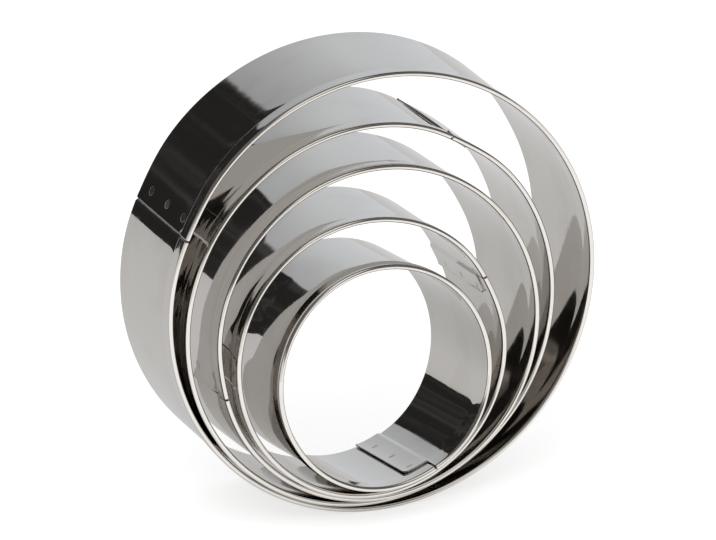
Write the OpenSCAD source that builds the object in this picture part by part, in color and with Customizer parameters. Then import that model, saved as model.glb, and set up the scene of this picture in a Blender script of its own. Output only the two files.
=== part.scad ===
// A nested set of five plain round biscuit cutters, standing on edge.
// Each cutter is one strip of thin sheet steel. The strip is bent into a ring,
// its front edge is folded outwards into a smooth rim, its back edge stays thin
// to cut the dough, and its two ends overlap and are spot welded.
// Millimetres. +Z is up, and the rims face -Y. The origin is on the floor
// below the middle of the set.

/* [Largest cutter] */
// Diameter of the largest cutter, measured over its rim
largest_d = 80; // [65:0.5:120]
// Height of every cutter, from the rim to the cutting edge
cutter_h = 23.7; // [16:0.1:40]

/* [Steps between the sizes] */
// How much smaller than the first cutter the second is, over the rim
step_2 = 10.8; // [6:0.1:13]
// How much smaller than the second cutter the third is
step_3 = 8.9; // [6:0.1:13]
// How much smaller than the third cutter the fourth is
step_4 = 10.3; // [6:0.1:13]
// How much smaller than the fourth cutter the fifth is
step_5 = 9.8; // [6:0.1:13]

/* [Sheet and rim] */
// Thickness of the steel sheet
sheet = 0.3; // [0.2:0.01:0.5]
// Slit between the wall and the leaf that is folded back over it
fold_slit = 0.3; // [0.1:0.01:0.6]
// Width of the folded rim, along the cutter's axis
rim_w = 3; // [2:0.1:5]

/* [Lap seam] */
// Length of the overlap, round the ring
lap_l = 5.5; // [4:0.1:9]
// Air between the two layers of the overlap
lap_air = 0.06; // [0.03:0.01:0.12]
// Gap between the two ends of the rim
rim_end_gap = 0.7; // [0.3:0.1:1.5]
// How far the tongue's front edge lies behind the front of the rim
tongue_set_back = 3.5; // [3.2:0.1:6]
// Length of the bend that sets the tongue inwards
bend_l = 1; // [0.6:0.1:2]

/* [Where each seam sits] */
// Turn of the first cutter's seam, upwards from its right-hand side
seam_1 = 157; // [60:1:190]
// Turn of the second cutter's seam
seam_2 = 60.5; // [20:0.5:150]
// Turn of the third cutter's seam
seam_3 = -166; // [-260:1:-160]
// Turn of the fourth cutter's seam
seam_4 = 27.5; // [0:0.5:120]
// Turn of the fifth cutter's seam
seam_5 = -63.5; // [-180:0.5:180]

/* [Spot welds] */
// How many spot welds each seam has
weld_count = 3; // [2:1:4]
// Diameter of one spot weld
weld_d = 1.8; // [1:0.1:3]
// Distance of the welds from the strip's outer end
weld_inset = 2.6; // [1.5:0.1:4]
// Distance of the first weld behind the rim's folded leaf
weld_from_rim = 2.2; // [1.5:0.1:5]
// Distance of the last weld from the cutting edge
weld_from_edge = 4.2; // [1.5:0.1:6]
// How far a weld's face stands out of the sheet
weld_proud = 0.04; // [0.01:0.01:0.1]
// How far a weld stops short of the tongue's inner face
weld_bite = 0.1; // [0.05:0.01:0.15]

/* [How the cutters lie in each other] */
// Air kept where one cutter rests inside the next larger one
rest_air = 0.12; // [0.05:0.01:0.3]
// Where the second cutter rests in the first: degrees left of straight down
rest_2 = 32.9; // [-60:0.1:60]
// Where the third cutter rests in the second
rest_3 = -16.8; // [-60:0.1:60]
// Where the fourth cutter rests in the third
rest_4 = 31.8; // [-60:0.1:60]
// Where the fifth cutter rests in the fourth
rest_5 = -24.1; // [-60:0.1:60]
// How far the second cutter's rim stands out in front of the first one's
out_2 = 1.4; // [-5:0.1:5]
// How far the third cutter's rim stands out in front of the second one's
out_3 = 1.9; // [-5:0.1:5]
// How far the fourth cutter's rim stands out in front of the third one's
out_4 = 2.3; // [-5:0.1:5]
// How far the fifth cutter's rim stands out in front of the fourth one's
out_5 = 1.7; // [-5:0.1:5]
// Sideways swing of the fourth cutter inside the third, in degrees
swing_4 = -2.1; // [-2.5:0.1:0]
// Sideways swing of the fifth cutter inside the fourth, in degrees
swing_5 = 3.1; // [0:0.1:3.5]

/* [Hidden] */
$fn = 96;
// roundness of the small fold
fold_fn = 24;

// the rim is two layers of sheet with the slit between them
rim_t = 2 * sheet + fold_slit;
// how far the rim stands out beyond the wall
rim_proud = rim_t - sheet;
// the tongue lies inside the wall by one layer
layer = sheet + lap_air;

// radius over the rim, for each cutter from the largest to the smallest
rim_r = [
    largest_d / 2,
    (largest_d - step_2) / 2,
    (largest_d - step_2 - step_3) / 2,
    (largest_d - step_2 - step_3 - step_4) / 2,
    (largest_d - step_2 - step_3 - step_4 - step_5) / 2
];
seam = [seam_1, seam_2, seam_3, seam_4, seam_5];
rest = [0, rest_2, rest_3, rest_4, rest_5];
out = [0, out_2, out_3, out_4, out_5];
swing = [0, 0, 0, swing_4, swing_5];

// a cutter lies on its rim's free edge and on its thin edge, so it leans back
lean = atan(rim_proud / (cutter_h - rim_w));

// radius of the wall's inner face, and the angle that a length along it takes
function wall_in(k) = rim_r[k] - rim_t;
function degrees_of(length, k) = length / wall_in(k) * 180 / PI;

// distance of the set's middle from the first cutter's rim
middle_y = 9.378;

// Cross-sections. x runs outwards from the wall's inner face, and y runs back
// from the front of the rim.
module wall_section(from) {
    translate([0, from]) square([sheet, cutter_h - from]);
}

module rim_section() {
    wall_section(rim_t / 2);
    // the leaf that is folded back over the wall
    translate([rim_t - sheet, rim_t / 2]) square([sheet, rim_w - rim_t / 2]);
    // the round fold that joins them
    translate([rim_t / 2, rim_t / 2]) difference() {
        circle(d = rim_t, $fn = fold_fn);
        circle(d = fold_slit, $fn = fold_fn);
        translate([-rim_t, 0]) square([2 * rim_t, rim_t]);
    }
}

// One cutter's strip, wound from its outer end. Its axis is the local Z axis,
// and the outer end lies on local X.
module strip(k) {
    r = wall_in(k);
    lap = degrees_of(lap_l, k);
    gap = degrees_of(rim_end_gap, k);
    bend = degrees_of(bend_l, k);
    // the wall and its folded rim, almost a full turn
    rotate_extrude(angle = 360 - gap) translate([r, 0]) rim_section();
    // the bend that joins the wall to the tongue, which is set in by one layer
    rotate([0, 0, -gap - bend * 5 / 6]) rotate_extrude(angle = bend * 2 / 3)
        translate([r - lap_air - sheet / 2, tongue_set_back + sheet])
            square([lap_air + sheet, cutter_h - tongue_set_back - 2 * sheet]);
    // the tongue under the outer end, without a rim
    rotate([0, 0, -gap - bend]) rotate_extrude(angle = bend + gap + lap)
        translate([r - layer, 0]) wall_section(tongue_set_back);
}

// The welds of one seam: round nuggets through both layers
module welds(k) {
    r = wall_in(k);
    first = rim_w + weld_from_rim;
    pitch = (cutter_h - weld_from_edge - first) / (weld_count - 1);
    rotate([0, 0, degrees_of(weld_inset, k)])
        for (i = [0:weld_count - 1])
            translate([r - layer + weld_bite, 0, first + i * pitch]) rotate([0, 90, 0])
                cylinder(h = layer - weld_bite + sheet + weld_proud, d = weld_d);
}

// Turns the local Z axis into the cutter's own axis, rim to the front, and
// brings the outer end to where the seam sits
module upright(k) {
    rotate([0, -seam[k], 0]) rotate([-90, 0, 0]) children();
}

// Places its children in the frame of cutter k: the first on the floor, and
// each other one where it rests inside the one before it
module in_place(k) {
    if (k == 0)
        translate([0, -middle_y, 0]) resting(0, 0, rim_w) children();
    else
        in_place(k - 1)
            resting(k, rim_r[k - 1] - rim_t - rest_air, rim_w - out[k]) children();
}

// Cutter k touches at its rim's free edge. The place it touches is "depth"
// below the holder's axis and "back" behind the holder's rim.
module resting(k, depth, back) {
    rotate([0, rest[k], 0]) translate([0, back, -depth])
        rotate([0, -rest[k], 0]) rotate([0, 0, swing[k]]) rotate([0, rest[k], 0])
            rotate([-lean, 0, 0]) translate([0, -rim_w, rim_r[k]])
                rotate([0, -rest[k], 0]) children();
}

module band(k) {
    in_place(k) upright(k) strip(k);
}

module spot_welds(k) {
    in_place(k) upright(k) welds(k);
}

module cutter_80_band() { color("silver") band(0); }
module cutter_80_spot_welds() { color("dimgray") spot_welds(0); }
module cutter_70_band() { color("lightsteelblue") band(1); }
module cutter_70_spot_welds() { color("dimgray") spot_welds(1); }
module cutter_60_band() { color("gainsboro") band(2); }
module cutter_60_spot_welds() { color("dimgray") spot_welds(2); }
module cutter_50_band() { color("lightslategray") band(3); }
module cutter_50_spot_welds() { color("dimgray") spot_welds(3); }
module cutter_40_band() { color("lightgray") band(4); }
module cutter_40_spot_welds() { color("dimgray") spot_welds(4); }

cutter_80_band();
cutter_80_spot_welds();
cutter_70_band();
cutter_70_spot_welds();
cutter_60_band();
cutter_60_spot_welds();
cutter_50_band();
cutter_50_spot_welds();
cutter_40_band();
cutter_40_spot_welds();
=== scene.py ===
import math

import bpy
import numpy as np
from mathutils import Matrix, Vector


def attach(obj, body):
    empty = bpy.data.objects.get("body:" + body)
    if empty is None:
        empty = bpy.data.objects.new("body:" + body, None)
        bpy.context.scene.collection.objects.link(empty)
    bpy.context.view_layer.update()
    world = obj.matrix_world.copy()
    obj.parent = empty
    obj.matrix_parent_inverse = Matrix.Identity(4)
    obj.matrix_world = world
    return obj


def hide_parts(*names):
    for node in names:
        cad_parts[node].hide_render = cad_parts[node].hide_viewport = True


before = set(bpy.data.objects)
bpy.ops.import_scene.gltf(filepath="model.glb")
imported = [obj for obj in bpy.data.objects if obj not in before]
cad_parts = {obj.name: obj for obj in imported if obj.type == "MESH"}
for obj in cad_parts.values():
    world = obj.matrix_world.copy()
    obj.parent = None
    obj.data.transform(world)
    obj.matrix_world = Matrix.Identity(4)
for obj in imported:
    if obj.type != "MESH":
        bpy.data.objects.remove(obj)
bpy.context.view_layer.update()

# The bands. Each cutter is one strip of thin stainless sheet, polished like a mirror and bent
# into a ring. Its front edge is folded outwards into a smooth rim, its back edge stays thin to
# cut the dough, and its ends lap: a tongue without a rim is set in under the strip's outer end.
CUTTERS = ("cutter_80", "cutter_70", "cutter_60", "cutter_50", "cutter_40")
# sizes are in millimetres, and five of them in a row are for the cutters in that order
MM = 0.001
SHEET = 0.3
RIM_THICK = 0.9
RIM_WIDE = 3.0
# how far the tongue laps under the outer end, and the air between the two layers
LAP_LONG = (5.5, 5.5, 5.5, 3.9, 4.5)
LAP_AIR = 0.06
# the length over which the tongue is set in, and the slot between the two ends of the rim
SET_IN_LONG = 0.7
RIM_SLOT = 0.35
# how far the tongue's front edge lies behind the front of the rim, and how round its corner is
TONGUE_FRONT = 3.5
TONGUE_CORNER = 0.9
# the share of that corner's depth that is left to the rounded end of the tongue
CORNER_LEFT = 0.1
# how far the middle of the welds lies from the outer end
WELD_INSET = 2.6
# how round the sheared edges are, and how far in the sheet surely has its full thickness
EDGE_ROUND = 0.05
EDGE_CLEAR = 0.15
# the tongue's end is rounder than that, by these factors along the strip and through the sheet
BLUNT_LONG = 3.0
BLUNT_DEEP = 2.2
# how far the leaf of the rim is in towards the wall, just behind its fold and at its free edge
LEAF_AT = 1.2
LEAF_IN = ((0.02, 0.12), (0.02, 0.12), (0.02, 0.12), (0.02, 0.12), (0.16, 0.0))
# the wall is drawn in beside the stiff rim, and is at its full size a little way behind it
SWELL = 0.08
SWELL_FROM = 1.0
SWELL_LONG = 2.6
# the lapped ends don't take the bend as well as the rest, so each ring is a little flat there
SEAM_FLAT = (0.30, 0.5, 0.3, 0.4, 0.25)
SEAM_FLAT_LONG = 7.0
# how far each seam is turned from where the solids have it, in radians
SEAM_SHIFT = (0.0, 0.022, 0.0, 0.0, -0.02)
# the largest ring is a little oval, as a share of its radius, and longest in this direction
OVAL = (0.0045, 0.0, 0.0, 0.0, 0.0)
TALL_WAY = math.radians(75)
# the other walls are pressed in at their upper left, and the second one out: the slope, where
# behind the rim's front it begins, where it starts to fade out, and its turns in degrees
PRESSED = (0.0, -0.04, 0.042, 0.038, 0.029)
PRESSED_FROM = 5.3
PRESSED_TO = 13.5
PRESSED_TURNS = (100, 130, 168, 200)
# three walls lean out or in at their right and lower right: the slope, and its turns in degrees
LEANING = (-0.03, 0.03, -0.03, 0.0, 0.0)
LEANING_TURNS = (-100, -55, 25, 50)
# the outer end is loose over a short length and lifts off, most near the middle of its width: by
# how much, which part of a half wave it follows from the rim to the cutting edge, and over which
# distance behind the rim's front it starts to lift
LIFT = (0.06, 0.46, 0.1, 0.1, 0.05)
LOOSE_LONG = 2.2
LIFT_WAVE_FROM = 0.20
LIFT_WAVE_LONG = 0.68
LIFT_STARTS = 4
# how far the tongue's end springs inwards
SPRING = (0.08, 0.2, 0.15, 0.08, 0.12)
# how high the hand-rolled sheet ripples, how many ripples go round one ring, and their phases
# from ripple to ripple, from ring to ring and along the ring's axis
RIPPLE = 0.012
RIPPLES = (5, 8, 13, 21)
RIPPLE_PHASE = 1.7
RING_PHASE = 2.3
AXIS_PHASE = 0.06
# a small relief cut in the outer end, where the leaf of the rim begins
RELIEF_AT = 3.75
RELIEF_WIDE = 0.45
RELIEF_DEEP = 1.0
RELIEF_FADE = 4.0
# the mesh's sections lie closer together over this length at the ends of the rim
NEAR_END = 3.0
# the steps along the strip: near its outer end, round the ring, near the rim's other end, across
# the slot, along the tongue and round the tongue's corner in degrees
END_STEP = 0.25
TURN_STEP = math.radians(1.25)
RIM_END_STEP = 0.3
SLOT_STEP = 0.07
TONGUE_STEP = 0.4
CORNER_STEP = 15
# the mesh's rows across the strip, as places behind the rim's front: the wall's last ones, those
# of the leaf, and the degrees from row to row round the fold
WALL_ROWS = (3.25, 3.0, 2.6, 2.0, 1.3, 0.8)
LEAF_ROWS = (0.6, 0.8, 1.0, 1.2, 1.4, 1.8, 2.3, 2.6)
FOLD_STEP = 12
# from this place forwards the wall's surface counts as the rim's
RIM_STEEL_FROM = 1.3
# faces that meet at a larger angle than this stay sharp
SHARP = math.radians(50)
# the other face of the sheet has its own part of the grain's map, this far off
MAP_APART = 50.0


def smooth(value, low, high):
    """0 below low, 1 above high, and an even curve between."""
    t = np.clip((value - low) / (high - low), 0, 1)
    return t * t * (3 - 2 * t)


def between(degrees, turns):
    """1 between the inner two of four turns, and fading to 0 at the outer two."""
    fade_in, full_from, full_to, fade_out = turns
    return smooth(degrees, fade_in, full_from) * (1 - smooth(degrees, full_to, fade_out))


def cad_points(node):
    """The corners of a CAD node's mesh, in millimetres."""
    return np.array([v.co[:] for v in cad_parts[node].data.vertices]) / MM


def measure(cutter):
    """A cutter's own frame, its wall's inner radius, its height and the turn of its seam, read
    from its CAD nodes. Its Y axis runs back along the ring's axis from the front of the rim."""
    number = CUTTERS.index(cutter)
    points = cad_points(cutter + "_band")
    # the axis is square to the cutting edge, which is found closer each time
    axis = np.array((0.0, 1.0, 0.0))
    for slack in (6, 3, 1.5, 0.5, 0.05, 0.05):
        along = points @ axis
        edge = points[along > along.max() - slack]
        axis = np.linalg.svd(edge - edge.mean(0))[2][2]
        axis *= np.sign(axis[1])
    along = points @ axis
    right = np.array((1.0, 0.0, 0.0)) - axis[0] * axis
    right /= np.linalg.norm(right)
    up = np.cross(right, axis)
    # the wall's outer face is the circle through the edge's points that lie furthest out
    flat = np.stack([edge @ right, edge @ up], 1)
    away = np.linalg.norm(flat - flat.mean(0), axis=1)
    for _ in range(3):
        circle = flat[away > away.max() - LAP_AIR]
        sums = np.c_[2 * circle, np.ones(len(circle))]
        cx, cz, rest = np.linalg.lstsq(sums, (circle ** 2).sum(1), rcond=None)[0]
        away = np.linalg.norm(flat - (cx, cz), axis=1)
    radius = math.sqrt(rest + cx * cx + cz * cz) - SHEET
    place = np.eye(4)
    place[:3] = np.stack([right, axis, up, right * cx + up * cz + axis * along.min()], 1)
    welds = cad_points(cutter + "_spot_welds")
    spots = (np.c_[welds, np.ones(len(welds))] @ np.linalg.inv(place).T)[:, :3]
    middle = spots.mean(0)
    return {
        "name": cutter,
        "number": number,
        "place": Matrix(place.tolist()),
        "radius": radius,
        "high": along.max() - along.min(),
        "seam": math.atan2(middle[2], middle[0]) + WELD_INSET / radius + SEAM_SHIFT[number],
        "weld_ends": (spots[:, 1].min(), spots[:, 1].max()),
    }


def swell(back, high):
    """How far the wall stands out of a plain cylinder, at a distance behind the rim's front."""
    behind = np.maximum(back - SWELL_FROM, 0)
    return SWELL * (1 - np.exp(-(behind / SWELL_LONG) ** 3) - behind / (high - SWELL_FROM))


def wander(size, turn, back):
    """How far a ring departs from a true circle: flat at its seam, oval, pressed, leaning and
    rippled."""
    k, radius = size["number"], size["radius"]
    lap_middle = size["seam"] - 0.5 * LAP_LONG[k] / radius
    arc = (turn - lap_middle + math.pi) % (2 * math.pi) - math.pi
    out = -SEAM_FLAT[k] * np.exp(-((arc * radius / SEAM_FLAT_LONG) ** 2))
    out = out - OVAL[k] * radius * (1 - np.cos(2 * (turn - TALL_WAY)))
    degrees = np.degrees(turn) % 360
    deep = PRESSED[k] * np.maximum(back - PRESSED_FROM, 0)
    kept = 1 - smooth(back, PRESSED_TO, size["high"])
    out = out - deep * between(degrees, PRESSED_TURNS) * kept
    degrees = (degrees + 180) % 360 - 180
    behind = np.maximum(back - TONGUE_FRONT, 0)
    out = out + LEANING[k] * between(degrees, LEANING_TURNS) * behind
    for n, count in enumerate(RIPPLES):
        phase = RIPPLE_PHASE * n + RING_PHASE * k + AXIS_PHASE * (n + 1) * back
        out = out + RIPPLE * (np.cos(count * turn + phase) - 1) / (n + 1)
    return out


def on_ring(size, along, back, out):
    """The points at arc lengths from the strip's outer end, in the ring's own frame."""
    turn = size["seam"] - along / size["radius"]
    r = size["radius"] + out + swell(back, size["high"]) + wander(size, turn, back)
    return np.stack(np.broadcast_arrays(r * np.cos(turn), back, r * np.sin(turn)), -1)


def sheared_edge():
    """Steps in from a sheared edge: the distance, and the loss of half the sheet's thickness."""
    steps = [(EDGE_ROUND * (1 - math.sin(a)), EDGE_ROUND * (1 - math.cos(a)))
             for a in map(math.radians, (90, 60, 30, 0))]
    return steps + [(EDGE_CLEAR, 0.0)]


def sheet_section(size):
    """The middle line of the sheet, as places (out, back) from the cutting edge along the wall,
    round the fold and along the leaf, with the thinning of its sheared edges; and the row of
    the tongue's front edge."""
    high = size["high"]
    line = [(SHEET / 2, high - d, thin) for d, thin in sheared_edge()]
    # the rows lie wide apart near the cutting edge, and closer the nearer they are to the rim
    behind = [*np.arange(high - 0.8, 14, -1.2), *np.arange(13.6, 6.6, -0.7)]
    behind += [*np.linspace(6.4, TONGUE_FRONT, 14)]
    line += [(SHEET / 2, back, 0.0) for back in behind]
    front_row = len(line) - 1
    line += [(SHEET / 2, back, 0.0) for back in WALL_ROWS]
    middle = RIM_THICK / 2
    for degrees in range(180, 361, FOLD_STEP):
        a = math.radians(degrees)
        line.append((middle + (middle - SHEET / 2) * math.cos(a),
                     middle + (middle - SHEET / 2) * math.sin(a), 0.0))
    leaf = [(back, 0.0) for back in LEAF_ROWS]
    leaf += [(RIM_WIDE - d, thin) for d, thin in reversed(sheared_edge())]
    for back, thin in leaf:
        inwards = np.interp(back, (middle, LEAF_AT, RIM_WIDE), (0, *LEAF_IN[size["number"]]))
        line.append((RIM_THICK - SHEET / 2 - inwards, back, thin))
    return np.array(line), front_row


def plain(lengths):
    """Sections of the full sheet, with the tongue's front edge straight."""
    return [(along, 0.0, 0.0, 0.0) for along in lengths]


def section_places(size):
    """The sections along the strip, from its outer end: arc length, thinning of the wall, thinning
    of the rim and how far the tongue's front edge draws back; and the section that ends the rim."""
    full = 2 * math.pi * size["radius"]
    rim_end = full - RIM_SLOT
    places = [(d, thin, thin, 0.0) for d, thin in sheared_edge()]
    places += plain(np.arange(0.35, NEAR_END, END_STEP))
    count = math.ceil((rim_end - 2 * NEAR_END) / (TURN_STEP * size["radius"]))
    places += plain(np.linspace(3.2, rim_end - 2.8, count))
    places += plain(np.arange(rim_end - 2.5, rim_end - 0.5, RIM_END_STEP))
    places += plain([rim_end - d for d in (0.4, 0.32, 0.24)])
    places += [(rim_end - d, 0.0, thin, 0.0) for d, thin in reversed(sheared_edge())]
    rim_section = len(places) - 1
    places += plain(np.arange(rim_end + SLOT_STEP, full + 0.01, SLOT_STEP))
    tongue_end = full + LAP_LONG[size["number"]]
    places += plain(np.arange(full + 0.3, tongue_end - TONGUE_CORNER, TONGUE_STEP))
    for degrees in range(0, 76, CORNER_STEP):
        a = math.radians(degrees)
        along = tongue_end - TONGUE_CORNER * (1 - math.sin(a))
        places.append((along, 0.0, 0.0, TONGUE_CORNER * (1 - math.cos(a))))
    for d, thin in reversed(sheared_edge()[:-1]):
        drawn = TONGUE_CORNER * (1 - CORNER_LEFT * d / EDGE_ROUND)
        thinner = BLUNT_DEEP * thin
        places.append((tongue_end - BLUNT_LONG * d, thinner, thinner, drawn))
    return np.array(places), rim_section


def skin_points(size, line, front_row, places):
    """The points of the sheet's two faces, for each section and row. The first face is the one
    inside the ring, which goes on round the outside of the fold."""
    k = size["number"]
    out, back, edge_thin = line.T
    along, wall_thin, rim_thin, drawn = places.T[:, :, None]
    full = 2 * math.pi * size["radius"]

    # the wall bends inwards to the tongue, while the rim keeps its place
    past_welds = np.clip((along - full - WELD_INSET) / (LAP_LONG[k] - WELD_INSET), 0, 1)
    inwards = (SHEET + LAP_AIR) * smooth(along, full - SET_IN_LONG, full)
    inwards = inwards + SPRING[k] * past_welds ** 2
    on_fold = out > SHEET / 2 + 1e-6
    of_wall = np.where(on_fold, 0, np.minimum(back / TONGUE_FRONT, 1) ** 2)
    loose = np.clip(1 - along / LOOSE_LONG, 0, 1) ** 2
    wave = np.sin(math.pi * (LIFT_WAVE_FROM + LIFT_WAVE_LONG * back / size["high"]))
    lift = LIFT[k] * loose * (wave * smooth(back, 0, LIFT_STARTS))

    # at the tongue's corner its rows move back, those near the cutting edge least
    share = (back - TONGUE_FRONT) / (size["high"] - TONGUE_FRONT)
    back = back + drawn * (1 - share)
    notch = np.exp(-((back - RELIEF_AT) / RELIEF_WIDE) ** 2)
    notch = notch * np.clip(1 - along / RELIEF_FADE, 0, 1) ** 2

    on_wall = np.arange(len(line)) <= front_row
    half = SHEET / 2 - np.maximum(np.where(on_wall, wall_thin, rim_thin), edge_thin)
    ahead = np.gradient(line[:, :2], axis=0)
    ahead /= np.linalg.norm(ahead, axis=1)[:, None]
    skins = [on_ring(size, along + RELIEF_DEEP * notch, back - side * ahead[:, 0] * half,
                     out + side * ahead[:, 1] * half - inwards * of_wall + lift)
             for side in (1, -1)]
    return np.stack(skins).reshape(-1, 3)


def band_mesh(size):
    """The whole strip as one closed mesh: two skins over a grid of sections and rows, and a
    narrow face along every sheared edge."""
    line, front_row = sheet_section(size)
    places, rim_section = section_places(size)
    sections, rows = len(places), len(line)
    points = skin_points(size, line, front_row, places)
    rim_row = int(np.argmax(line[:, 1] <= RIM_STEEL_FROM))

    # each cell has a face on both skins, and where no cell lies beside it, one across the sheet
    faces, slots, side_of = [], [], []
    cells = {(i, j) for i in range(sections - 1) for j in range(rows - 1)
             if i + 1 <= rim_section or j + 1 <= front_row}
    other = sections * rows
    for i, j in sorted(cells):
        corners = [i * rows + j, (i + 1) * rows + j, (i + 1) * rows + j + 1, i * rows + j + 1]
        faces += [corners, [other + c for c in corners[::-1]]]
        slots += [int(j >= rim_row)] * 2
        side_of += [1, -1]
        for n, beside in enumerate(((i, j - 1), (i + 1, j), (i, j + 1), (i - 1, j))):
            if beside not in cells:
                a, b = corners[n], corners[(n + 1) % 4]
                faces.append([b, a, other + a, other + b])
                slots.append(2)
                side_of.append(0)
    faces = np.array(faces)
    used, renumbered = np.unique(faces, return_inverse=True)
    renumbered = renumbered.reshape(faces.shape)
    mesh = bpy.data.meshes.new(size["name"] + "_ring")
    mesh.from_pydata(points[used].tolist(), [], renumbered.tolist())
    mesh.polygons.foreach_set("material_index", slots)
    mesh.polygons.foreach_set("use_smooth", [True] * len(faces))

    # the grain's map, in millimetres along and across the strip
    width = np.r_[0, np.cumsum(np.linalg.norm(np.diff(line[:, :2], axis=0), axis=1))]
    u, v = (np.tile(a.ravel(), 2) for a in np.broadcast_arrays(places[:, :1], width))
    side_of = np.repeat(side_of, 4)
    corner = faces.ravel()
    across = v[corner] + MAP_APART * (side_of == -1) + SHEET * ((side_of == 0) & (corner >= other))
    grain = mesh.uv_layers.new(name="strip")
    grain.uv.foreach_set("vector", np.stack([u[corner], across], 1).ravel())
    mesh.transform(Matrix.Scale(MM, 4) @ size["place"])
    mesh.set_sharp_from_angle(angle=SHARP)
    return mesh


def add(tree, kind, **values):
    """A new node of a tree. Each named value sets an input of that name, or else a property."""
    node = tree.nodes.new(kind)
    for name, value in values.items():
        if name in node.inputs:
            node.inputs[name].default_value = value
        else:
            setattr(node, name, value)
    return node


def calc(tree, operation, *values):
    """One step of arithmetic in a tree, on sockets or plain numbers."""
    node = add(tree, "ShaderNodeMath", operation=operation)
    for entry, value in zip(node.inputs, values):
        if isinstance(value, (int, float)):
            entry.default_value = value
        else:
            tree.links.new(value, entry)
    return node.outputs[0]


def ramp(tree, value, low, high, start=0.0, end=1.0):
    """A value from start to end while another goes from low to high, smooth and then level."""
    node = add(tree, "ShaderNodeMapRange", interpolation_type="SMOOTHSTEP")
    tree.links.new(value, node.inputs["Value"])
    for name, number in (("From Min", low), ("From Max", high), ("To Min", start), ("To Max", end)):
        node.inputs[name].default_value = number
    return node.outputs["Result"]


def mix(tree, share, first, second):
    """A colour that goes from the first to the second, each a socket or a plain colour."""
    node = add(tree, "ShaderNodeMix", data_type="RGBA")
    tree.links.new(share, node.inputs[0])
    for entry, colour in ((node.inputs[6], first), (node.inputs[7], second)):
        if isinstance(colour, tuple):
            entry.default_value = (*colour, 1)
        else:
            tree.links.new(colour, entry)
    return node.outputs[2]


def strip_noise(tree, along, across, detail=2.0, turned=0.0, place=0.0):
    """Noise on the strip's own map, with so many bumps per millimetre along it and across it."""
    where = add(tree, "ShaderNodeUVMap", uv_map="strip")
    squeeze = add(tree, "ShaderNodeMapping")
    squeeze.inputs["Rotation"].default_value[2] = math.radians(turned)
    squeeze.inputs["Location"].default_value[0] = place
    squeeze.inputs["Scale"].default_value = (along, across, 1)
    tree.links.new(where.outputs[0], squeeze.inputs["Vector"])
    noise = add(tree, "ShaderNodeTexNoise", Scale=1.0, Detail=detail)
    tree.links.new(squeeze.outputs[0], noise.inputs["Vector"])
    return noise.outputs[0]


def new_effect(name, outputs):
    """An empty node group with those outputs, each a varying value."""
    tree = bpy.data.node_groups.new(name, "ShaderNodeTree")
    for output in outputs:
        tree.interface.new_socket(output, in_out="OUTPUT", socket_type="NodeSocketFloat")
    return tree, add(tree, "NodeGroupOutput")


# bend marks across the strip, where it was rolled round bit by bit, and a faint orange peel
PEEL_HIGH = 1.6
relief, end = new_effect("bend_marks", ["Height"])
bends = strip_noise(relief, along=0.20, across=0.02)
peel = strip_noise(relief, along=0.26, across=0.15, turned=12, place=40)
relief.links.new(calc(relief, "MULTIPLY_ADD", peel, PEEL_HIGH, bends), end.inputs["Height"])

# the mill's fine grain along the strip, which polishing has nearly taken away
milled, end = new_effect("rolled_grain", ["Height"])
milled.links.new(strip_noise(milled, along=0.05, across=9.0, detail=4.0), end.inputs["Height"])

# what hands leave on the polish: soft clouded prints
prints, end = new_effect("finger_marks", ["Mask"])
clouds = ramp(prints, strip_noise(prints, along=0.09, across=0.11, detail=5.0), 0.50, 0.66)
skin_lines = strip_noise(prints, along=1.6, across=1.1, turned=25)
smear = calc(prints, "MULTIPLY", clouds, ramp(prints, skin_lines, 0.3, 0.7, start=0.55))
prints.links.new(smear, end.inputs["Mask"])

# hairlines from stacking the rings in each other, most of them along the strip
hairs, end = new_effect("stacking_scratches", ["Mask", "Height"])
fine = strip_noise(hairs, along=0.06, across=4.5, detail=1.0, turned=4)
slanting = strip_noise(hairs, along=3.6, across=0.10, detail=1.0, turned=-32, place=15)
scratch = calc(hairs, "MAXIMUM", ramp(hairs, fine, 0.66, 0.72), ramp(hairs, slanting, 0.68, 0.73))
patches = ramp(hairs, strip_noise(hairs, along=0.12, across=0.2, place=70), 0.45, 0.6)
scratch = calc(hairs, "MULTIPLY", scratch, patches)
hairs.links.new(scratch, end.inputs["Mask"])
hairs.links.new(calc(hairs, "MULTIPLY", scratch, -1.0), end.inputs["Height"])

# how much a scratch roughens the polish, as a share of what a finger mark does
SCRATCH_WEAR = 0.16


def steel(name, colour, dulled, rough, bumps):
    """A stainless steel. Dulled is its colour under finger marks, rough its roughness from clean
    to marked, and bumps pairs each group with the depth of its relief in millimetres."""
    material = bpy.data.materials.new(name)
    material.use_nodes = True
    tree = material.node_tree
    shader = tree.nodes["Principled BSDF"]
    shader.inputs["Metallic"].default_value = 1.0
    marked = add(tree, "ShaderNodeGroup", node_tree=prints).outputs["Mask"]
    scratched = add(tree, "ShaderNodeGroup", node_tree=hairs).outputs["Mask"]
    tree.links.new(mix(tree, marked, colour, dulled), shader.inputs["Base Color"])
    worn = calc(tree, "MULTIPLY_ADD", scratched, SCRATCH_WEAR, marked)
    roughness = calc(tree, "MULTIPLY_ADD", worn, rough[1] - rough[0], rough[0])
    tree.links.new(roughness, shader.inputs["Roughness"])
    normal = None
    for effect, depth in bumps:
        source = add(tree, "ShaderNodeGroup", node_tree=effect)
        bump = add(tree, "ShaderNodeBump", Distance=depth * MM)
        tree.links.new(source.outputs["Height"], bump.inputs["Height"])
        if normal:
            tree.links.new(normal, bump.inputs["Normal"])
        normal = bump.outputs["Normal"]
    tree.links.new(normal, shader.inputs["Normal"])
    return material


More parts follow.
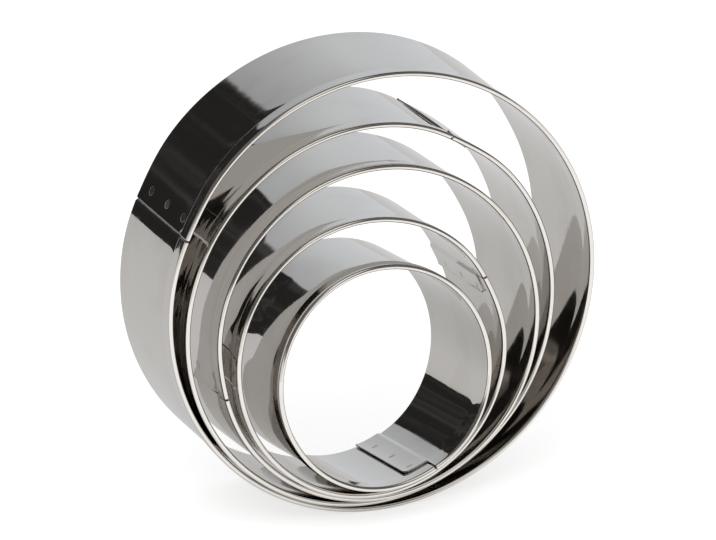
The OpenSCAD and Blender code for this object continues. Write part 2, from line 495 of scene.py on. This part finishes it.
wall_steel = steel("mirror_polished_sheet", colour=(0.61, 0.587, 0.56),
                   dulled=(0.58, 0.555, 0.525), rough=(0.035, 0.075),
                   bumps=[(relief, 0.006), (milled, 0.0001), (hairs, 0.0005)])
rim_steel = steel("folded_rim_steel", colour=(0.61, 0.587, 0.56),
                  dulled=(0.57, 0.54, 0.51), rough=(0.06, 0.12),
                  bumps=[(relief, 0.008), (milled, 0.0006), (hairs, 0.0012)])
# the sheared edges' own duller tone, darkened further as painted shade for the dark lines at the
# lap's ends
cut_steel = steel("sheared_edge_steel", colour=(0.40, 0.38, 0.355),
                  dulled=(0.31, 0.295, 0.27), rough=(0.26, 0.40),
                  bumps=[(relief, 0.02), (milled, 0.004)])

sizes = {cutter: measure(cutter) for cutter in CUTTERS}
for cutter in CUTTERS:
    ring = bpy.data.objects.new(cutter + "_ring", band_mesh(sizes[cutter]))
    bpy.context.scene.collection.objects.link(ring)
    for material in (wall_steel, rim_steel, cut_steel):
        ring.data.materials.append(material)
    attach(ring, cutter)
    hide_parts(cutter + "_band")

# The spot welds. Three small electrodes pressed and melted each lap together. On the outer face
# each left a round, slightly dished button, and on the tongue's inner face only a narrow dent.
WELDS = 3
WELD_WIDE = 1.8
TICK_LONG = 1.6
TICK_WIDE = 0.8
# the height of each at a share of the way from its middle to its border
BUTTON = ((0.0, 0.002), (0.4, 0.005), (0.7, 0.011), (0.88, 0.008), (1.0, -0.012))
TICK = ((0.0, 0.024), (0.35, 0.020), (0.6, 0.026), (0.85, 0.012), (1.0, -0.02))
SPOT_CORNERS = 28


def spot(back, profile, half_sizes, level, outwards):
    """A closed shallow button on one face of the lap, as points (along, back, out) and faces."""
    points, faces = [], []
    for share, high in profile:
        for n in range(1 if share == 0 else SPOT_CORNERS):
            a = 2 * math.pi * n / SPOT_CORNERS
            along = WELD_INSET + share * half_sizes[0] * math.cos(a)
            across = back + share * half_sizes[1] * math.sin(a)
            points.append((along, across, level + outwards * high))
    for row in range(1, len(profile)):
        start = 1 + (row - 1) * SPOT_CORNERS
        for n in range(SPOT_CORNERS):
            a, b = start + n, start + (n + 1) % SPOT_CORNERS
            faces.append((0, a, b) if row == 1 else (a - SPOT_CORNERS, a, b, b - SPOT_CORNERS))
    faces.append(tuple(range(len(points) - 1, len(points) - SPOT_CORNERS - 1, -1)))
    if outwards < 0:
        faces = [face[::-1] for face in faces]
    return points, faces


def weld_mesh(size):
    """The marks of one seam's welds, on both faces of the lap."""
    first = size["weld_ends"][0] + WELD_WIDE / 2
    pitch = (size["weld_ends"][1] - WELD_WIDE / 2 - first) / (WELDS - 1)
    outer = (BUTTON, (WELD_WIDE / 2, WELD_WIDE / 2), SHEET, 1)
    inner = (TICK, (TICK_LONG / 2, TICK_WIDE / 2), -SHEET - LAP_AIR, -1)
    points, faces = [], []
    for n in range(WELDS):
        for kind in (outer, inner):
            more, shapes = spot(first + n * pitch, *kind)
            faces += [[len(points) + k for k in shape] for shape in shapes]
            points += more
    points = np.array(points)
    mesh = bpy.data.meshes.new(size["name"] + "_weld_marks")
    mesh.from_pydata(on_ring(size, *points.T).tolist(), [], faces)
    mesh.polygons.foreach_set("use_smooth", [True] * len(faces))
    grain = mesh.uv_layers.new(name="strip")
    corner = [k for face in faces for k in face]
    grain.uv.foreach_set("vector", points[corner, :2].ravel())
    mesh.transform(Matrix.Scale(MM, 4) @ size["place"])
    return mesh


weld_steel = steel("weld_mark_steel", colour=(0.50, 0.475, 0.44),
                   dulled=(0.36, 0.33, 0.30), rough=(0.16, 0.34),
                   bumps=[(relief, 0.03), (milled, 0.002), (hairs, 0.002)])
for cutter in CUTTERS:
    marks = bpy.data.objects.new(cutter + "_weld_marks", weld_mesh(sizes[cutter]))
    bpy.context.scene.collection.objects.link(marks)
    marks.data.materials.append(weld_steel)
    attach(marks, cutter)
    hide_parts(cutter + "_spot_welds")

# The floor. A wide sheet of plain white paper, lit so evenly that only a faint shadow shows. For
# the polished steel it has a painted glow, brighter in front of the rings than behind them.
FLOOR_WIDE = 1300
FLOOR_COLOUR = 0.52
FLOOR_GLOW = 0.65
FRONT_PAINTED_GLOW = 0.90
BACK_PAINTED_GLOW = 0.25
# the painted front glow gives way to the painted back one between this far in front of the middle
# and the middle
PAINTED_GLOW_END = 25
FIBRES_PER_METRE = 900.0
PAPER_ROUGH = (0.75, 0.9)
half = FLOOR_WIDE / 2 * MM
corners = [(-half, -half, 0), (half, -half, 0), (half, half, 0), (-half, half, 0)]
ground = bpy.data.meshes.new("floor")
ground.from_pydata(corners, [], [(0, 1, 2, 3)])
floor = bpy.data.objects.new("floor", ground)
bpy.context.scene.collection.objects.link(floor)
paper = bpy.data.materials.new("white_paper")
paper.use_nodes = True
tree = paper.node_tree
shader = tree.nodes["Principled BSDF"]
shader.inputs["Base Color"].default_value = (FLOOR_COLOUR, FLOOR_COLOUR, FLOOR_COLOUR, 1)
shader.inputs["Specular IOR Level"].default_value = 0.1
shader.inputs["Emission Color"].default_value = (1, 1, 1, 1)
where = add(tree, "ShaderNodeTexCoord")
fibres = add(tree, "ShaderNodeTexNoise", Scale=FIBRES_PER_METRE, Detail=4.0)
tree.links.new(where.outputs["Object"], fibres.inputs["Vector"])
rough = ramp(tree, fibres.outputs[0], 0.3, 0.7, *PAPER_ROUGH)
tree.links.new(rough, shader.inputs["Roughness"])
parts = add(tree, "ShaderNodeSeparateXYZ")
tree.links.new(where.outputs["Object"], parts.inputs[0])
# painted light: a glow on the floor that only the steel's reflections see, brighter in front where
# no lamp stands
mirrored = ramp(tree, parts.outputs["Y"], -PAINTED_GLOW_END * MM, 0.0, FRONT_PAINTED_GLOW, BACK_PAINTED_GLOW)
seen = add(tree, "ShaderNodeLightPath")
glow = calc(tree, "ADD", calc(tree, "MULTIPLY", seen.outputs["Is Camera Ray"], FLOOR_GLOW),
            calc(tree, "MULTIPLY", seen.outputs["Is Glossy Ray"], mirrored))
tree.links.new(glow, shader.inputs["Emission Strength"])
ground.materials.append(paper)

# The studio. Plain soft light comes from everywhere. The polished steel sees large pale panels
# round it with dark gaps between them, and a dark room behind it on the left.
SOFT_LIGHT = 0.75
PANEL = (0.735, 0.765, 0.80)
FRONT_PANEL = (1.12, 1.10, 1.05)
GAP = (0.17, 0.165, 0.155)
DARK = (0.030, 0.0285, 0.027)
# A direction is x to the right, y to the back and z upwards. Behind the set it is also given as
# its side and its height for each unit that it runs back. Each pair below is where a change
# begins and where it is complete, and two more numbers are the values there. From a bright strip
# to a gap it's in quarter turns from the strip's middle, and the folds go by their noise.
FRONT_TO_BACK = (-0.3, 0.6)
GAP_END = (0.74, 0.66)
STRIP_TO_GAP = (0.10, 0.26)
PANEL_SIDE = (-0.3, 0.4, 0.67, 1.03)
PANEL_HEIGHT = (0.35, 0.55, 1.0, 0.86)
ROOM_LEFT = (-1.3, -0.9)
ROOM_BACK = (0.0, 0.06)
ROOM_RIGHT = (-0.006, 0.012)
ROOM_FOLDS = (0.42, 0.75, 0.8, 2.1)
LIT_HEIGHT = (0.33, 0.37)
LIT_SIDE = (-0.54, -0.60)
LIT_MORE = 8.0
# the curtain that ends the dark room on the right: its side at a few heights, which a curve
# holds with this much added, because it takes nothing below 0
CURTAIN = ((0.2, -0.17), (0.30, -0.115), (0.40, -0.16), (0.46, -0.16), (0.52, -0.115),
           (0.6, -0.05))
CURVE_ADDS = 0.5
# a direction that runs forwards, or hardly back, is taken to run back this far
LEAST_BACK = 0.02


def scaled(tree, colour, share):
    """A plain colour, made brighter or darker by a value."""
    node = add(tree, "ShaderNodeVectorMath", operation="SCALE")
    node.inputs[0].default_value = colour
    tree.links.new(share, node.inputs["Scale"])
    return node.outputs[0]


world = bpy.data.worlds.new("studio")
bpy.context.scene.world = world
world.use_nodes = True
tree = world.node_tree
tree.nodes.clear()
way = add(tree, "ShaderNodeTexCoord")
parts = add(tree, "ShaderNodeSeparateXYZ")
tree.links.new(way.outputs["Generated"], parts.inputs[0])
x, y, z = parts.outputs
side = calc(tree, "DIVIDE", x, calc(tree, "MAXIMUM", y, LEAST_BACK))
height = calc(tree, "DIVIDE", z, calc(tree, "MAXIMUM", y, LEAST_BACK))

# the panel behind is lit from its right and from below, so it fades towards the room
fade = calc(tree, "MULTIPLY", ramp(tree, side, *PANEL_SIDE), ramp(tree, height, *PANEL_HEIGHT))
panels = mix(tree, ramp(tree, y, *FRONT_TO_BACK), FRONT_PANEL, scaled(tree, PANEL, fade))
# from the panel behind to the front, bright strips run above, below and at both sides, with the
# dark gaps between them
quarters = calc(tree, "MULTIPLY", calc(tree, "ARCTAN2", z, x), 2 / math.pi)
off_strip = calc(tree, "PINGPONG", calc(tree, "ADD", quarters, 4.0), 0.5)
gap = calc(tree, "MULTIPLY", ramp(tree, y, *GAP_END), ramp(tree, off_strip, *STRIP_TO_GAP))
pale = mix(tree, gap, panels, GAP)

# the dark room is hung with a folded curtain, and high up on its left the wall is lit
hem = add(tree, "ShaderNodeFloatCurve")
drape = hem.mapping.curves[0]
for at, across in CURTAIN[2:]:
    drape.points.new(at, across + CURVE_ADDS)
for point, (at, across) in zip(drape.points, CURTAIN):
    point.location = (at, across + CURVE_ADDS)
hem.mapping.update()
tree.links.new(height, hem.inputs["Value"])
room_end = calc(tree, "SUBTRACT", hem.outputs[0], CURVE_ADDS)
before_end = ramp(tree, calc(tree, "SUBTRACT", room_end, side), *ROOM_RIGHT)
in_room = calc(tree, "MULTIPLY", before_end,
               calc(tree, "MULTIPLY", ramp(tree, side, *ROOM_LEFT), ramp(tree, y, *ROOM_BACK)))
cloth = add(tree, "ShaderNodeTexNoise", Scale=9.0, Detail=2.0, Distortion=1.2)
tree.links.new(way.outputs["Generated"], cloth.inputs["Vector"])
folds = ramp(tree, cloth.outputs[0], *ROOM_FOLDS)
wall_light = calc(tree, "MULTIPLY", ramp(tree, height, *LIT_HEIGHT), ramp(tree, side, *LIT_SIDE))
folds = calc(tree, "MULTIPLY", folds, calc(tree, "MULTIPLY_ADD", wall_light, LIT_MORE, 1.0))
mirrored = mix(tree, in_room, pale, scaled(tree, DARK, folds))

# only the steel's reflections see the panels: other light is even, and the camera sees white
seen = add(tree, "ShaderNodeLightPath")
glossy = add(tree, "ShaderNodeBackground")
tree.links.new(mirrored, glossy.inputs["Color"])
soft = add(tree, "ShaderNodeBackground", Color=(SOFT_LIGHT, SOFT_LIGHT, SOFT_LIGHT, 1))
white = add(tree, "ShaderNodeBackground", Color=(1, 1, 1, 1))
lit = add(tree, "ShaderNodeMixShader")
shown = add(tree, "ShaderNodeMixShader")
tree.links.new(seen.outputs["Is Glossy Ray"], lit.inputs["Fac"])
tree.links.new(soft.outputs[0], lit.inputs[1])
tree.links.new(glossy.outputs[0], lit.inputs[2])
tree.links.new(seen.outputs["Is Camera Ray"], shown.inputs["Fac"])
tree.links.new(lit.outputs[0], shown.inputs[1])
tree.links.new(white.outputs[0], shown.inputs[2])
tree.links.new(shown.outputs[0], add(tree, "ShaderNodeOutputWorld").inputs["Surface"])

# a softbox high in front on the left, which the steel doesn't mirror
SOFTBOX_WIDE = 600
SOFTBOX_AT = Vector((-350, -500, 800)) * MM
SOFTBOX_WATTS = 3.0
lamp = bpy.data.lights.new("overhead_softbox", "AREA")
lamp.shape = "SQUARE"
lamp.size = SOFTBOX_WIDE * MM
lamp.energy = SOFTBOX_WATTS
softbox = bpy.data.objects.new("overhead_softbox", lamp)
bpy.context.scene.collection.objects.link(softbox)
softbox.location = SOFTBOX_AT
softbox.visible_glossy = False
softbox.rotation_mode = "QUATERNION"
softbox.rotation_quaternion = (-SOFTBOX_AT).to_track_quat("-Z", "Y")

# The camera. A long lens far away, above and to the left of the rims. The turn and the height
# of its view are in degrees, and its distance is in metres.
VIEW_TURN = -22.888
VIEW_HEIGHT = 22.485
VIEW_FROM = 3.0
VIEW_AT = Vector((-4.48, -7.768, 44.92)) * MM
LENS = 880.9
SENSOR_WIDE = 36
SEES_TO = 20
turn, rise = math.radians(VIEW_TURN), math.radians(VIEW_HEIGHT)
away = Vector((math.sin(turn) * math.cos(rise), -math.cos(turn) * math.cos(rise), math.sin(rise)))
eye = bpy.data.cameras.new("camera")
eye.lens = LENS
eye.sensor_width = SENSOR_WIDE
eye.clip_end = SEES_TO
camera = bpy.data.objects.new("camera", eye)
bpy.context.scene.collection.objects.link(camera)
camera.location = VIEW_AT + away * VIEW_FROM
camera.rotation_mode = "QUATERNION"
camera.rotation_quaternion = (-away).to_track_quat("-Z", "Y")
bpy.context.scene.camera = camera

# light runs to and fro many times between the nested rings
bpy.context.scene.cycles.glossy_bounces = 12
bpy.context.scene.view_settings.view_transform = "Standard"
